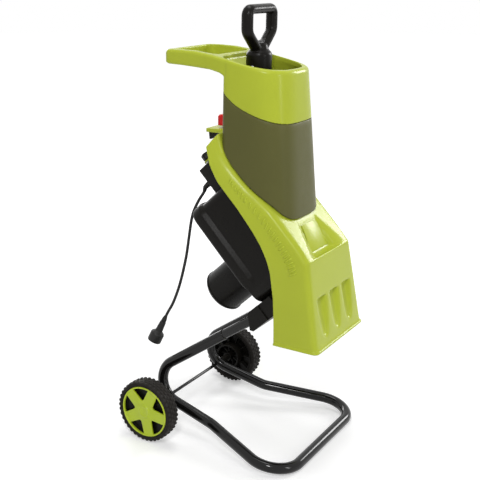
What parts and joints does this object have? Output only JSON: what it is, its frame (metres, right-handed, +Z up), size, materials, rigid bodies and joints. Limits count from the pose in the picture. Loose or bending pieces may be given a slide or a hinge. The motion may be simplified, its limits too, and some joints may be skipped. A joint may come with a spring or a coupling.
{
  "type": "electric wood chipper",
  "caption": "Electric garden chipper: tall feed hopper with push-down tamper, slanted knife-disc and motor housing, sloping discharge chute that hinges open, wheeled bent-tube stand.",
  "frame": {"origin": "on the floor, midway between the outer sides of the tyres, and midway between the chute's lip and the tyres' rearmost points", "axes": "+Z up, -Y towards the side where the chute lets the chips out, +Y towards the wheels and the carry loop, +X towards the machine's left"},
  "size_m": [0.4292, 0.4701, 1.0029],
  "materials": {
    "green_plastic": "semi-gloss moulded",
    "olive_plastic": "satin moulded",
    "black_plastic": "satin moulded",
    "black_paint": "gloss powder coat",
    "rubber": "matt",
    "lime_plastic": "gloss moulded",
    "red_plastic": "gloss moulded",
    "cord_jacket": "satin",
    "steel": "bright",
    "copper": "laminations and copper wire",
    "cast_aluminium": "as cast"
  },
  "bodies": {
    "stand": {"stand_tube": "black_paint", "upper_arm_right": "black_paint", "upper_arm_left": "black_paint", "axle_rod": "black_paint", "axle_spacer_right": "black_plastic", "axle_spacer_left": "black_plastic", "axle_clip_right": "steel", "axle_clip_left": "steel", "tube_bracket": "black_plastic", "bracket_bolt_right": "steel", "bracket_bolt_left": "steel", "hinge_rod": "steel", "motor_base": "black_plastic", "deck_plate": "cast_aluminium", "spindle_bearing_upper": "steel", "spindle_bearing_lower": "steel", "motor_can": "black_plastic", "motor_stator": "copper", "motor_bearing_lower": "steel", "motor_bearing_upper": "steel", "switch_box": "black_plastic", "cord_gland": "black_plastic", "power_cord": "cord_jacket", "plug": "black_plastic"},
    "hopper": {"hopper_top": "green_plastic", "neck_cover": "olive_plastic", "chute_housing": "green_plastic", "name_plate": "green_plastic", "feed_throat": "black_plastic", "switch_pod": "black_plastic"},
    "lock": {"lock_knob": "black_plastic", "lock_screw": "steel"},
    "button": {"stop_button": "red_plastic"},
    "tamper": {"tamper_grip": "black_plastic", "tamper_shaft": "black_plastic", "tamper_pin": "steel", "tamper_paddle": "black_plastic"},
    "wheel_assembly_right": {"tire_right": "rubber", "wheel_right": "black_plastic", "wheel_cover_right": "lime_plastic"},
    "wheel_assembly_left": {"tire_left": "rubber", "wheel_left": "black_plastic", "wheel_cover_left": "lime_plastic"},
    "disc_assembly": {"spindle": "steel", "cutting_disc": "steel", "knife_a": "steel", "knife_b": "steel", "disc_nut": "steel", "drive_gear": "steel"},
    "rotor": {"armature": "copper", "motor_pinion": "steel", "motor_fan": "black_plastic"}
  },
  "joints": [
    {"name": "hopper_hinge", "type": "hinge", "parent": "stand", "child": "hopper", "pos_m": [0, -0.13924, 0.39519], "axis": [1, 0, 0], "range_deg": [0, 40]},
    {"name": "lock_turn", "type": "hinge", "parent": "hopper", "child": "lock", "pos_m": [-0.03, 0.1004, 0.6556], "axis": [0, 0.6947, 0.7193], "range_deg": [0, 360]},
    {"name": "stop_press", "type": "slide", "parent": "hopper", "child": "button", "axis": [0, 0, -1], "range_m": [0, 0.004], "stiffness_N_per_m": 1500, "springref_m": -0.002},
    {"name": "tamper_slide", "type": "slide", "parent": "hopper", "child": "tamper", "axis": [0, 0, 1], "range_m": [0, 0.22]},
    {"name": "wheel_spin_right", "type": "hinge", "parent": "stand", "child": "wheel_assembly_right", "pos_m": [-0.196, 0.1603, 0.075], "axis": [1, 0, 0], "continuous": true},
    {"name": "wheel_spin_left", "type": "hinge", "parent": "stand", "child": "wheel_assembly_left", "pos_m": [0.196, 0.1603, 0.075], "axis": [1, 0, 0], "continuous": true},
    {"name": "disc_spin", "type": "hinge", "parent": "stand", "child": "disc_assembly", "pos_m": [0, -0.03057, 0.52213], "axis": [0, -0.7193, 0.6947], "continuous": true},
    {"name": "motor_spin", "type": "hinge", "parent": "stand", "child": "rotor", "pos_m": [0, 0.03218, 0.37117], "axis": [0, -0.7193, 0.6947], "continuous": true}
  ],
  "couplings": [
    {"joint": "motor_spin", "follows": "disc_spin", "ratio": -4}
  ]
}
